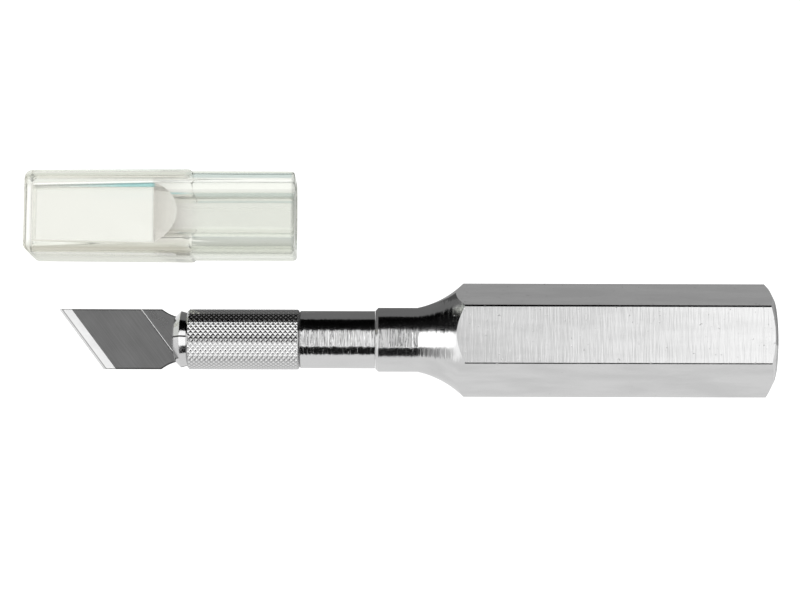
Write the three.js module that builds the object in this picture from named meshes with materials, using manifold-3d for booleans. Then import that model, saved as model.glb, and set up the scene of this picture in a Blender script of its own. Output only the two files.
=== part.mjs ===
// Heavy-duty craft knife with a slip-on safety cap lying beside it.
//
// A hexagonal aluminium handle is turned down at the front and holds a chuck. The chuck is a screwed-in
// neck, a knurled collar that turns against the neck, and a split collet that turns with the collar and
// whose threaded tail screws into the neck. Tightening draws the collet's cone into the collar, which
// closes four jaws on a blade with an angled edge. The clear cap is a thick-walled moulding: a flat
// chamber for the blade, and a round bore that grips the collar.
//
// Millimetres, +Z up. The origin is the middle of the handle's lower flat, on which the knife lies.
// The knife's axis runs along X at half the hexagon's height: the blade points to -X, the butt to +X.
// Stations along X are named by what is there; radii are about the knife's axis.

import * as THREE from "three";
import { mergeVertices } from "three/addons/utils/BufferGeometryUtils.js";
import Module from "manifold-3d";

const wasm = await Module();
wasm.setup();

// ---- Driving dimensions ------------------------------------------------------------------------------

const ACROSS_FLATS = 19.05; // 3/4 inch hexagonal bar
const HEX_RADIUS = ACROSS_FLATS / Math.sqrt(3); // to a corner
const AXIS_HEIGHT = ACROSS_FLATS / 2;

const BUTT_END = 29.85;
const BUTT_RADIUS = 8.2; // flat disc inside the butt's chamfer
const BUTT_CHAMFER_RUN = 0.52; // mm along the axis for each mm of radius
const FLARE_START = -37.8;
const FLARE_RADIUS = 17.8; // concave fillet between the shoulder and the hexagon
const FLARE_START_ANGLE = THREE.MathUtils.degToRad(12);
const SHOULDER_FRONT = -45.75;
const SHOULDER_RADIUS = 6.1;
const SHOULDER_CHAMFER = 0.45;

const NECK_FRONT = -60.2;
const NECK_RADIUS = 5.47;
const NECK_CHAMFER = 0.2;
const SPIGOT_RADIUS = 4.0; // threaded end of the neck, inside the handle
const SPIGOT_END = -33;
const TAIL_RADIUS = 2.5; // threaded tail of the collet, inside the neck
const TAIL_END = -42;
const THREAD_PITCH = 0.8;
const THREAD_DEPTH = 0.35;
const RUNNING_GAP = 0.1; // radial room between turned pieces that fit in each other
const FACE_GAP = 0.1; // room between faces that meet

const COLLAR_FRONT = -81.5;
const COLLAR_BACK = NECK_FRONT - FACE_GAP;
const COLLAR_RADIUS = 5.75; // over the knurl
const COLLAR_CHAMFER = 0.55;
const COLLAR_BORE = 4.75; // around the jaws
const COLLAR_WEB = 5; // length of the collar's narrow back end, around the collet's shank

const NOSE_TIP = -84.6;
const NOSE_FACE_RADIUS = 4.2;
const NOSE_DOME = 0.65; // how far the face bulges
const NOSE_RADIUS = 5.35; // largest, just behind the 45 degree edge
const NOSE_EDGE = NOSE_TIP + NOSE_DOME + (NOSE_RADIUS - NOSE_FACE_RADIUS); // where the nose is largest
const NOSE_CONE = Math.tan(THREE.MathUtils.degToRad(15)); // back taper that the collar squeezes
const CONE_GAP = 0.07; // between that taper and the collar's mouth
const JAW_RADIUS = 4.45;
const JAW_ROOT = -66.6;
const JAW_BORE = 1.6; // relief hole down the middle of the jaws
const CROSS_SLOT = 0.3;
const BLADE_SLOT = 0.7;
const SHANK_FRONT = -66.3;
const SHANK_RADIUS = 3.0;

const BLADE_THICKNESS = 0.6;
const BLADE_WIDTH = 11.5;
const BLADE_TIP = -106.2;
const BLADE_HEEL = -97.5; // where the slanted edge meets the other side
const BLADE_SHOULDER = -86.5;
const BLADE_TANG_FRONT = -83.7;
const BLADE_TANG_WIDTH = 8.7;
const BLADE_TANG_END = -69;
const BLADE_BEVEL = 1.9; // width of the ground edge, square to it
const BLADE_EDGE_LAND = 0.06; // thickness left at the cutting edge

const CAP_AXIS_Y = 24.1; // the cap lies beside the knife
const CAP_CLOSED_END = -112.8;
const CAP_LIP = -80.7; // where the thicker front steps down to the sleeve
const CAP_MOUTH = -61.2;
const CAP_DEPTH = 15; // along Z, and so twice the height of the cap's axis
const CAP_WIDTH_CLOSED = 15.9;
const CAP_WIDTH_LIP = 16.3;
const CAP_CORNER = 1.8; // of its long edges
const CAP_END_ROUND = 1.5; // round the edges of the closed end and of the lip
const SLEEVE_WIDTH = 15.7; // as deep as the front, with rounder long edges
const SLEEVE_CORNER = 2.4;
const SLEEVE_END_ROUND = 0.7;
const CAP_BORE = 6.5; // radius
const CHAMBER_END = -111.3;
const CHAMBER_MOUTH = -88.2; // where the chamber's roof and floor start to ramp out to the bore
const CHAMBER_HALF_DEPTH = 3.0;
const CHAMBER_TAPER = 0.91; // width of the blind end over the width at its mouth
const RAMP_RUN = 4.65; // along X, from the chamber's roof to the top of the bore
const RIB_OFFSET = 3.25; // sideways, of the two grip ribs along the bore's floor
const RIB_WIDTH = 0.7;
const RIB_INNER = 5.85; // radius that the ribs reach in to
const RIB_SETBACK = 1.2; // from the mouth
const RIB_LEAD = 1.2; // slanted lead-in of each rib

const FINE = 72; // facets round a large turned surface
const COARSE = 36; // round a small or hidden one

// ---- Helpers -----------------------------------------------------------------------------------------

// A solid turned about the X axis. The profile is [station, radius] pairs, from -X to +X on its outside.
function turned(profile, facets = FINE) {
  const points = profile.map(([x, r]) => new THREE.Vector2(r, x));
  return new THREE.LatheGeometry(points, facets).rotateZ(-Math.PI / 2);
}

// A closed geometry as a manifold-3d solid, and back.
function solidOf(geometry) {
  const bare = geometry.index ? geometry.toNonIndexed() : geometry.clone();
  bare.deleteAttribute("normal");
  bare.deleteAttribute("uv");
  const merged = mergeVertices(bare, 1e-4);
  return new wasm.Manifold(
    new wasm.Mesh({
      numProp: 3,
      vertProperties: new Float32Array(merged.attributes.position.array),
      triVerts: new Uint32Array(merged.index.array),
    }),
  );
}

function geometryOf(solid) {
  const mesh = solid.getMesh();
  return new THREE.BufferGeometry()
    .setAttribute("position", new THREE.BufferAttribute(mesh.vertProperties, 3))
    .setIndex(new THREE.BufferAttribute(mesh.triVerts, 1));
}

function box(low, high) {
  const size = high.map((v, i) => v - low[i]);
  const centre = high.map((v, i) => (v + low[i]) / 2);
  return new THREE.BoxGeometry(...size).translate(...centre);
}

// Ridges of a screw thread drawn as rings, as [station, radius] pairs between two stations.
function threadProfile(from, to, radius) {
  const turns = Math.floor((to - from) / THREAD_PITCH);
  const pitch = (to - from) / turns;
  return Array.from({ length: turns }, (_, i) => [
    [from + i * pitch, radius - THREAD_DEPTH],
    [from + (i + 0.5) * pitch, radius],
  ]).flat();
}

// A rounded rectangle in YZ, extruded along X between two stations. endRadius rounds the edges of both ends.
function roundedBar(from, to, width, depth, corner, endRadius) {
  const shape = new THREE.Shape();
  const w = width / 2 - endRadius;
  const d = depth / 2 - endRadius;
  const c = Math.max(corner - endRadius, 0.2);
  shape.moveTo(w, d - c);
  shape.absarc(w - c, d - c, c, 0, Math.PI / 2);
  shape.absarc(-w + c, d - c, c, Math.PI / 2, Math.PI);
  shape.absarc(-w + c, -d + c, c, Math.PI, 1.5 * Math.PI);
  shape.absarc(w - c, -d + c, c, 1.5 * Math.PI, 2 * Math.PI);
  const geometry = new THREE.ExtrudeGeometry(shape, {
    depth: to - from - 2 * endRadius,
    curveSegments: 4,
    bevelThickness: endRadius,
    bevelSize: endRadius,
    bevelSegments: 3,
  });
  // ExtrudeGeometry runs along +Z, so turn its Z to X, its X to Y and its Y to Z.
  const turn = new THREE.Matrix4().makeBasis(
    new THREE.Vector3(0, 1, 0),
    new THREE.Vector3(0, 0, 1),
    new THREE.Vector3(1, 0, 0),
  );
  return geometry.applyMatrix4(turn).translate(from + endRadius, 0, 0);
}

// Multiplies each point's Y by a factor that runs from `first` at station `from` to `last` at `to`.
function taperY(geometry, from, to, first, last) {
  const position = geometry.attributes.position;
  for (let i = 0; i < position.count; i++) {
    const share = THREE.MathUtils.clamp((position.getX(i) - from) / (to - from), 0, 1);
    position.setY(i, position.getY(i) * THREE.MathUtils.lerp(first, last, share));
  }
  return geometry;
}

// ---- Handle ------------------------------------------------------------------------------------------

function flareProfile() {
  const beyondCorner = HEX_RADIUS + 0.3;
  const steps = 12;
  const profile = [];
  const centreX = FLARE_START - FLARE_RADIUS * Math.sin(FLARE_START_ANGLE);
  const centreR = SHOULDER_RADIUS + FLARE_RADIUS * Math.cos(FLARE_START_ANGLE);
  const endAngle = Math.acos((centreR - beyondCorner) / FLARE_RADIUS);
  for (let i = 0; i <= steps; i++) {
    const angle = THREE.MathUtils.lerp(FLARE_START_ANGLE, endAngle, i / steps);
    profile.push([centreX + FLARE_RADIUS * Math.sin(angle), centreR - FLARE_RADIUS * Math.cos(angle)]);
  }
  return profile;
}

function makeHandle() {
  const reach = HEX_RADIUS + 0.3;
  const envelope = turned([
    [SHOULDER_FRONT, 0],
    [SHOULDER_FRONT, SHOULDER_RADIUS - SHOULDER_CHAMFER],
    [SHOULDER_FRONT + SHOULDER_CHAMFER, SHOULDER_RADIUS],
    ...flareProfile(),
    [BUTT_END - BUTT_CHAMFER_RUN * (reach - BUTT_RADIUS), reach],
    [BUTT_END, BUTT_RADIUS],
    [BUTT_END, 0],
  ]);
  const length = BUTT_END - SHOULDER_FRONT + 4;
  const hexagon = new THREE.CylinderGeometry(HEX_RADIUS, HEX_RADIUS, length, 6, 1, false, Math.PI / 6)
    .rotateZ(-Math.PI / 2)
    .translate((BUTT_END + SHOULDER_FRONT) / 2, 0, 0);
  const boreEnd = SPIGOT_END + 1;
  const drillPoint = 2.2;
  const bore = turned(
    [
      [SHOULDER_FRONT - 1, 0],
      [SHOULDER_FRONT - 1, SPIGOT_RADIUS + RUNNING_GAP],
      [boreEnd, SPIGOT_RADIUS + RUNNING_GAP],
      [boreEnd + drillPoint, 0],
    ],
    COARSE,
  );
  return geometryOf(solidOf(hexagon).intersect(solidOf(envelope)).subtract(solidOf(bore)));
}

// ---- Chuck -------------------------------------------------------------------------------------------

function makeNeck() {
  const bore = TAIL_RADIUS + RUNNING_GAP;
  const back = SHOULDER_FRONT - FACE_GAP;
  return turned(
    [
      [NECK_FRONT, bore],
      [NECK_FRONT, NECK_RADIUS - NECK_CHAMFER],
      [NECK_FRONT + NECK_CHAMFER, NECK_RADIUS],
      [back, NECK_RADIUS],
      [back, SPIGOT_RADIUS - THREAD_DEPTH],
      ...threadProfile(back + 1.2, SPIGOT_END, SPIGOT_RADIUS),
      [SPIGOT_END, SPIGOT_RADIUS - THREAD_DEPTH],
      [SPIGOT_END, bore],
      [NECK_FRONT, bore],
    ],
    COARSE,
  );
}

function makeCollar() {
  const mouth = NOSE_RADIUS - (COLLAR_FRONT - NOSE_EDGE) * NOSE_CONE + CONE_GAP;
  const coneEnd = COLLAR_FRONT + (mouth - COLLAR_BORE) / NOSE_CONE;
  const web = COLLAR_BACK - COLLAR_WEB;
  const shankBore = SHANK_RADIUS + RUNNING_GAP;
  return turned([
    [COLLAR_FRONT, mouth],
    [COLLAR_FRONT, COLLAR_RADIUS - COLLAR_CHAMFER],
    [COLLAR_FRONT + COLLAR_CHAMFER, COLLAR_RADIUS],
    [COLLAR_BACK - COLLAR_CHAMFER * 0.8, COLLAR_RADIUS],
    [COLLAR_BACK, COLLAR_RADIUS - COLLAR_CHAMFER * 0.8],
    [COLLAR_BACK, shankBore],
    [web, shankBore],
    [web, COLLAR_BORE],
    [coneEnd, COLLAR_BORE],
    [COLLAR_FRONT, mouth],
  ]);
}

function makeCollet() {
  const tailStart = NECK_FRONT + 0.6;
  return turned(
    [
      [SHANK_FRONT, 0],
      [SHANK_FRONT, SHANK_RADIUS],
      [COLLAR_BACK - 0.4, SHANK_RADIUS],
      [COLLAR_BACK - 0.4, TAIL_RADIUS - THREAD_DEPTH],
      ...threadProfile(tailStart, TAIL_END, TAIL_RADIUS),
      [TAIL_END, TAIL_RADIUS - THREAD_DEPTH],
      [TAIL_END, 0],
    ],
    COARSE,
  );
}

// The four jaws are one turned head, cut into quarters by the blade's slot and the cross slot.
function makeJaw(side, level) {
  const domeRadius = (NOSE_FACE_RADIUS ** 2 + NOSE_DOME ** 2) / (2 * NOSE_DOME);
  const dome = Array.from({ length: 4 }, (_, i) => {
    const radius = (NOSE_FACE_RADIUS * i) / 4;
    return [NOSE_TIP + domeRadius - Math.sqrt(domeRadius ** 2 - radius ** 2), radius];
  });
  const head = turned([
    ...dome,
    [NOSE_TIP + NOSE_DOME, NOSE_FACE_RADIUS],
    [NOSE_EDGE, NOSE_RADIUS],
    [NOSE_EDGE + (NOSE_RADIUS - JAW_RADIUS) / NOSE_CONE, JAW_RADIUS],
    [JAW_ROOT, JAW_RADIUS],
    [JAW_ROOT, 0],
  ]);
  const boreStart = NOSE_TIP + 1.6;
  const bore = turned(
    [
      [boreStart, 0],
      [boreStart + JAW_BORE, JAW_BORE],
      [JAW_ROOT + 1, JAW_BORE],
      [JAW_ROOT + 1, 0],
    ],
    COARSE,
  );
  const far = 10;
  const quarter = box(
    [NOSE_TIP - 1, side > 0 ? CROSS_SLOT / 2 : -far, level > 0 ? BLADE_SLOT / 2 : -far],
    [JAW_ROOT + 1, side > 0 ? far : -CROSS_SLOT / 2, level > 0 ? far : -BLADE_SLOT / 2],
  );
  return geometryOf(solidOf(head).subtract(solidOf(bore)).intersect(solidOf(quarter)));
}

// ---- Blade -------------------------------------------------------------------------------------------

function makeBlade() {
  const half = BLADE_WIDTH / 2;
  const tang = BLADE_TANG_WIDTH / 2;
  const tangCorner = 1.5;
  const outline = new THREE.Shape();
  outline.moveTo(BLADE_TIP, half);
  outline.lineTo(BLADE_HEEL, -half);
  outline.lineTo(BLADE_SHOULDER, -half);
  outline.lineTo(BLADE_TANG_FRONT, -tang);
  outline.lineTo(BLADE_TANG_END - tangCorner, -tang);
  outline.absarc(BLADE_TANG_END - tangCorner, -tang + tangCorner, tangCorner, -Math.PI / 2, 0);
  outline.absarc(BLADE_TANG_END - tangCorner, tang - tangCorner, tangCorner, 0, Math.PI / 2);
  outline.lineTo(BLADE_TANG_FRONT, tang);
  outline.lineTo(BLADE_SHOULDER, half);
  const plate = new THREE.ExtrudeGeometry(outline, {
    depth: BLADE_THICKNESS,
    bevelEnabled: false,
    curveSegments: 5,
  }).translate(0, 0, -BLADE_THICKNESS / 2);

  // Two grinding cuts slope down to the edge: boxes whose inner face is the bevel's plane.
  const edgeDirection = Math.atan2(-BLADE_WIDTH, BLADE_HEEL - BLADE_TIP);
  const slope = Math.atan2((BLADE_THICKNESS - BLADE_EDGE_LAND) / 2, BLADE_BEVEL);
  const grind = (level) =>
    new THREE.BoxGeometry(30, 8, 2)
      .translate(0, 2, level)
      .rotateX(level * slope)
      .translate(0, 0, (level * BLADE_EDGE_LAND) / 2)
      .rotateZ(edgeDirection)
      .translate((BLADE_TIP + BLADE_HEEL) / 2, 0, 0);
  return geometryOf(solidOf(plate).subtract(solidOf(grind(1))).subtract(solidOf(grind(-1))));
}

// ---- Cap ---------------------------------------------------------------------------------------------

function makeCap() {
  const front = taperY(
    roundedBar(CAP_CLOSED_END, CAP_LIP, CAP_WIDTH_LIP, CAP_DEPTH, CAP_CORNER, CAP_END_ROUND),
    CAP_CLOSED_END,
    CAP_LIP,
    CAP_WIDTH_CLOSED / CAP_WIDTH_LIP,
    1,
  );
  const inside = CAP_LIP - 3 * CAP_END_ROUND;
  const sleeve = roundedBar(inside, CAP_MOUTH, SLEEVE_WIDTH, CAP_DEPTH, SLEEVE_CORNER, SLEEVE_END_ROUND);

  // The bore, pinched at its inner end by two ramps that lead down to the flat chamber.
  const past = 2;
  const bore = turned([
    [CHAMBER_MOUTH, 0],
    [CHAMBER_MOUTH, CAP_BORE],
    [CAP_MOUTH + past, CAP_BORE],
    [CAP_MOUTH + past, 0],
  ]);
  const slope = (CAP_BORE - CHAMBER_HALF_DEPTH) / RAMP_RUN;
  const wide = CAP_BORE + 0.4;
  const funnelOutline = new THREE.Shape([
    new THREE.Vector2(CHAMBER_MOUTH - 0.1, -CHAMBER_HALF_DEPTH),
    new THREE.Vector2(CHAMBER_MOUTH, -CHAMBER_HALF_DEPTH),
    new THREE.Vector2(CHAMBER_MOUTH + (wide - CHAMBER_HALF_DEPTH) / slope, -wide),
    new THREE.Vector2(CAP_MOUTH + past + 1, -wide),
    new THREE.Vector2(CAP_MOUTH + past + 1, wide),
    new THREE.Vector2(CHAMBER_MOUTH + (wide - CHAMBER_HALF_DEPTH) / slope, wide),
    new THREE.Vector2(CHAMBER_MOUTH, CHAMBER_HALF_DEPTH),
    new THREE.Vector2(CHAMBER_MOUTH - 0.1, CHAMBER_HALF_DEPTH),
  ]);
  const funnel = new THREE.ExtrudeGeometry(funnelOutline, { depth: 20, bevelEnabled: false })
    .rotateX(Math.PI / 2)
    .translate(0, 10, 0);

  // The chamber: a slot whose corners lie on the bore's circle, so that its core can be drawn out.
  const chamberBore = turned([
    [CHAMBER_END, 0],
    [CHAMBER_END, CAP_BORE],
    [CHAMBER_MOUTH + 0.2, CAP_BORE],
    [CHAMBER_MOUTH + 0.2, 0],
  ]);
  const slot = box([CHAMBER_END - 1, -10, -CHAMBER_HALF_DEPTH], [CHAMBER_MOUTH + 1, 10, CHAMBER_HALF_DEPTH]);
  const chamber = taperY(
    geometryOf(solidOf(chamberBore).intersect(solidOf(slot))),
    CHAMBER_END,
    CHAMBER_MOUTH,
    CHAMBER_TAPER,
    1,
  );

  // Two low ribs along the bore's floor press the collar against its roof.
  const foot = Math.sqrt(CAP_BORE ** 2 - RIB_OFFSET ** 2) + 0.3;
  const top = Math.sqrt(RIB_INNER ** 2 - RIB_OFFSET ** 2);
  const ribStart = CHAMBER_MOUTH + RAMP_RUN - 1.2;
  const ribOutline = new THREE.Shape([
    new THREE.Vector2(ribStart, -top),
    new THREE.Vector2(ribStart, -foot),
    new THREE.Vector2(CAP_MOUTH - RIB_SETBACK, -foot),
    new THREE.Vector2(CAP_MOUTH - RIB_SETBACK - RIB_LEAD, -top),
  ]);
  const rib = (side) =>
    new THREE.ExtrudeGeometry(ribOutline, { depth: RIB_WIDTH, bevelEnabled: false })
      .rotateX(Math.PI / 2)
      .translate(0, side * RIB_OFFSET + RIB_WIDTH / 2, 0);

  return geometryOf(
    solidOf(front)
      .add(solidOf(sleeve))
      .subtract(solidOf(bore).intersect(solidOf(funnel)))
      .subtract(solidOf(chamber))
      .add(solidOf(rib(1)))
      .add(solidOf(rib(-1))),
  );
}

// ---- Assembly ----------------------------------------------------------------------------------------

const aluminium = new THREE.MeshStandardMaterial({ color: 0xc9cacb, roughness: 0.3, metalness: 1 });
const polishedAluminium = new THREE.MeshStandardMaterial({ color: 0xd2d3d4, roughness: 0.18, metalness: 1 });
const knurledAluminium = new THREE.MeshStandardMaterial({ color: 0xc4c5c6, roughness: 0.32, metalness: 1 });
const bladeSteel = new THREE.MeshStandardMaterial({ color: 0x7c7c7c, roughness: 0.35, metalness: 1 });
const clearPlastic = new THREE.MeshStandardMaterial({
  color: 0xeef0ea,
  roughness: 0.08,
  metalness: 0,
  transparent: true,
  opacity: 0.35,
});

function piece(name, geometry, material) {
  const mesh = new THREE.Mesh(geometry, material);
  mesh.name = name;
  return mesh;
}

const knife = new THREE.Group();
knife.position.z = AXIS_HEIGHT;
knife.add(piece("handle", makeHandle(), aluminium));
knife.add(piece("chuck_neck", makeNeck(), polishedAluminium));
knife.add(piece("knurled_collar", makeCollar(), knurledAluminium));
knife.add(piece("collet_shank", makeCollet(), polishedAluminium));
for (const [side, sideName] of [[1, "left"], [-1, "right"]]) {
  for (const [level, levelName] of [[1, "upper"], [-1, "lower"]]) {
    knife.add(piece(`collet_jaw_${levelName}_${sideName}`, makeJaw(side, level), polishedAluminium));
  }
}
knife.add(piece("blade", makeBlade(), bladeSteel));

const cap = piece("safety_cap", makeCap(), clearPlastic);
cap.position.set(0, CAP_AXIS_Y, CAP_DEPTH / 2);

const part = new THREE.Group();
part.add(knife, cap);

export default part;
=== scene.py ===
# %% [markdown]
# # A heavy-duty craft knife and its safety cap
#
# The real knife is a length of hexagonal aluminium bar, turned down at the front to carry a chuck: a smooth
# neck, a knurled collar and a split collet that clamps a flat steel blade. A clear moulded cap lies beside
# it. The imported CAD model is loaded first. It fixes every place and size, and it carries the joints.

# %% Load the frame
import math

import bmesh
import bpy
from mathutils import Matrix, Vector


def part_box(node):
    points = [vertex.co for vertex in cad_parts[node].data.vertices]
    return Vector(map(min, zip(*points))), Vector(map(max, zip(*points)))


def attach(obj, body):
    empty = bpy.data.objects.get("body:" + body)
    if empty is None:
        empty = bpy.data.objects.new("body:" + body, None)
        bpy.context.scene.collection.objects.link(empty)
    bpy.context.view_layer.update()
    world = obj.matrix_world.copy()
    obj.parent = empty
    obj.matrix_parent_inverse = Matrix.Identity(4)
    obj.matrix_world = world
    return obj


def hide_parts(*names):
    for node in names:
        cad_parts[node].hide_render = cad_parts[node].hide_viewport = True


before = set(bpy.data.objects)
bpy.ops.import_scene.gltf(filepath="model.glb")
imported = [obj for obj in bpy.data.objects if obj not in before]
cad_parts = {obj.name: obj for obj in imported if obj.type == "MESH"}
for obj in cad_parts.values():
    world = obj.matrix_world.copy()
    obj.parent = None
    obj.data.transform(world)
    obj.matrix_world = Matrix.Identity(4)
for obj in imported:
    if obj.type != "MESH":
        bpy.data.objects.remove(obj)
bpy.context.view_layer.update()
MM = 0.001
HANDLE_LOW, HANDLE_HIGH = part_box("handle")
AXIS_Z = (HANDLE_LOW.z + HANDLE_HIGH.z) / 2
print("knife axis is", round(AXIS_Z / MM, 3), "mm above the bench")

# %% [markdown]
# ## Camera
#
# The knife is seen from almost straight above. A long lens from about half a metre keeps the outline nearly
# free of perspective, and the camera leans a few degrees towards the near side, so a sliver of each near
# wall shows. The camera looks at a point beside the knife's axis, because the cap shares the picture.

# %% Camera
ELEVATION = math.radians(82.4)
DISTANCE = 0.468
LENS_MM = 110.2
ROLL = math.radians(0.15)
AIM = Vector((-41.1 * MM, 7.67 * MM, AXIS_Z))

camera_data = bpy.data.cameras.new("camera")
camera_data.lens = LENS_MM
camera_data.sensor_width = 36.0
camera_data.clip_start = 0.01
camera = bpy.data.objects.new("camera", camera_data)
bpy.context.scene.collection.objects.link(camera)
towards_camera = Vector((0, -math.cos(ELEVATION), math.sin(ELEVATION)))
camera.location = AIM + DISTANCE * towards_camera
camera.rotation_euler = (math.pi / 2 - ELEVATION, 0, 0)
camera.rotation_euler.rotate_axis("Z", ROLL)
bpy.context.scene.camera = camera
print("camera is", round(camera.location.z / MM), "mm above the bench")

# %% [markdown]
# ## Turning on a lathe
#
# Most of the knife is turned. In Blender the lathe is the spin operator: a few points draw half of the
# section, spin carries them round the knife's axis, and use_merge joins the last step to the first. A
# profile that starts and ends on the axis gives a closed solid, and so does a loop clear of the axis. The
# flat pieces are outlines, extruded.

# %% Turned solids
def spin_round(bm, geom, steps):
    """Carries edges once round the X axis."""
    bmesh.ops.spin(bm, geom=geom, cent=(0, 0, 0), axis=(1, 0, 0), dvec=(0, 0, 0), angle=2 * math.pi,
                   steps=steps, use_merge=True, use_duplicate=False)


def spun(profile, steps=128):
    """A bmesh turned about the knife's axis from (station, radius) points in millimetres."""
    bm = bmesh.new()
    points = [bm.verts.new((x * MM, 0, r * MM)) for x, r in profile]
    pairs = list(zip(points, points[1:]))
    if profile[0][1] > 0:
        pairs.append((points[-1], points[0]))
    lines = [bm.edges.new(pair) for pair in pairs]
    spin_round(bm, points + lines, steps)
    bmesh.ops.remove_doubles(bm, verts=bm.verts, dist=1e-7)
    bmesh.ops.recalc_face_normals(bm, faces=bm.faces)
    bmesh.ops.translate(bm, verts=bm.verts, vec=(0, 0, AXIS_Z))
    return bm


def rod(first, last, radius, steps=160):
    """A plain rod about the X axis between two stations. With few steps it is a prism."""
    bm = bmesh.new()
    bmesh.ops.create_cone(bm, cap_ends=True, segments=steps, radius1=radius * MM, radius2=radius * MM,
                          depth=(last - first) * MM)
    bmesh.ops.rotate(bm, verts=bm.verts, cent=(0, 0, 0), matrix=Matrix.Rotation(math.pi / 2, 3, "Y"))
    bmesh.ops.translate(bm, verts=bm.verts, vec=((first + last) / 2 * MM, 0, 0))
    return bm


# %% Extruded solids and finished pieces
def extruded(outline, along):
    """A face through points in millimetres, extruded by a vector in millimetres."""
    bm = bmesh.new()
    face = bm.faces.new([bm.verts.new([c * MM for c in point]) for point in outline])
    grown = bmesh.ops.extrude_face_region(bm, geom=[face])
    moved = [g for g in grown["geom"] if isinstance(g, bmesh.types.BMVert)]
    bmesh.ops.translate(bm, verts=moved, vec=[c * MM for c in along])
    bmesh.ops.recalc_face_normals(bm, faces=bm.faces)
    return bm


def solid(name, bm):
    """A new object from a bmesh."""
    mesh = bpy.data.meshes.new(name)
    bm.to_mesh(mesh)
    bm.free()
    made = bpy.data.objects.new(name, mesh)
    bpy.context.scene.collection.objects.link(made)
    return made


def cut(target, tool, operation):
    """Applies a Boolean of target with tool, and throws the tool away."""
    modifier = target.modifiers.new("cut", "BOOLEAN")
    modifier.object = tool
    modifier.operation = operation
    modifier.solver = "EXACT"
    shaped = target.evaluated_get(bpy.context.evaluated_depsgraph_get())
    mesh = bpy.data.meshes.new_from_object(shaped)
    target.modifiers.clear()
    target.data = mesh
    bpy.data.objects.remove(tool)
    return target


def smooth(made, angle=32, flats=()):
    """Smooth shading up to an angle. A face whose normal is along one of the flats keeps flat shading."""
    for face in made.data.polygons:
        face.use_smooth = not any(abs(face.normal.dot(flat)) > 0.99999 for flat in flats)
    made.data.set_sharp_from_angle(angle=math.radians(angle))
    return made


def fit(made, material, body, nodes):
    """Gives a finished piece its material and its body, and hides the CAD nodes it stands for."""
    made.data.materials.clear()
    made.data.materials.append(material)
    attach(made, body)
    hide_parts(*nodes)
    made.data.calc_loop_triangles()
    print(made.name, len(made.data.loop_triangles), "triangles")
    return made


# %% [markdown]
# ## Materials
#
# Every finish is a node material. One function adds a node, sets its values and makes its links, and one
# function turns an sRGB hex colour to the linear values that shaders take. Patterns read Object
# coordinates, which are metres here, so a scale of 1000 is one cycle in a millimetre. Where a finish changes
# from place to place, a soft mask on those coordinates says where, and tints are laid over one another.

# %% Node helpers
def linear(hex_colour):
    """Linear RGBA from an sRGB hex string."""
    channels = [int(hex_colour[i:i + 2], 16) / 255 for i in (1, 3, 5)]
    return [c / 12.92 if c <= 0.04045 else ((c + 0.055) / 1.055) ** 2.4 for c in channels] + [1]


def per_mm(size):
    """The texture scale that gives features of that size in millimetres."""
    return 1 / (size * MM)


def add(material, kind, inputs=None, stops=(), **settings):
    """Adds a node. Inputs map a socket's name or number to a value, or to (node, output) to link.

    Stops are the (position, hex colour) pairs of a colour ramp."""
    node = material.node_tree.nodes.new("ShaderNode" + kind)
    for key, value in settings.items():
        setattr(node, key, value)
    for key, value in (inputs or {}).items():
        if isinstance(value, tuple) and len(value) == 2 and isinstance(value[0], bpy.types.Node):
            material.node_tree.links.new(value[0].outputs[value[1]], node.inputs[key])
        else:
            node.inputs[key].default_value = value
    if stops:
        elements = node.color_ramp.elements
        while len(elements) < len(stops):
            elements.new(0.5)
        for element, (position, colour) in zip(elements, stops):
            element.position = position
            element.color = linear(colour)
    return node


def new_material(name):
    """An empty node material with its output node."""
    material = bpy.data.materials.new(name)
    material.use_nodes = True
    material.node_tree.nodes.clear()
    output = add(material, "OutputMaterial")
    return material, output


def finish_material(material, shader, output, socket="BSDF"):
    """Links the shader to the material's output."""
    material.node_tree.links.new(shader.outputs[socket], output.inputs["Surface"])
    return material


# %% Places and tints
def between(material, length, low, high, edge, within=None):
    """A mask: one where a length in millimetres is between two limits, with soft edges."""
    up = add(material, "MapRange", {"Value": length, "From Min": (low - edge) * MM, "From Max": low * MM})
    down = add(material, "MapRange", {"Value": length, "From Min": high * MM, "From Max": (high + edge) * MM,
                                      "To Min": 1.0, "To Max": 0.0})
    mask = add(material, "Math", {0: (up, "Result"), 1: (down, "Result")}, operation="MULTIPLY")
    if within:
        mask = add(material, "Math", {0: (mask, "Value"), 1: within}, operation="MULTIPLY")
    return mask, "Value"


def layered(material, under, tints):
    """Lays tints over a first colour, each by its own mask, and gives the last (node, output).

    A Mix node takes its two colours at inputs 6 and 7, and gives its result at output 2."""
    for mask, colour in tints:
        node = add(material, "Mix", {"Factor": mask, 6: under, 7: linear(colour)}, data_type="RGBA")
        under = (node, 2)
    return under


# %% [markdown]
# ### Turned and milled aluminium
#
# Bare aluminium is nearly white and strongly reflecting, and its colour hardly varies. What the eye sees is
# relief: a lathe leaves fine rings and a milling cutter leaves fine cross lines, and both run square to the
# bar. So one relief that is fine along X and long across it serves for both, and it does its work only by
# tilting the reflections. Real rings are a few hundredths of a millimetre apart, too fine to show, so they
# are drawn a few tenths apart.

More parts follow.
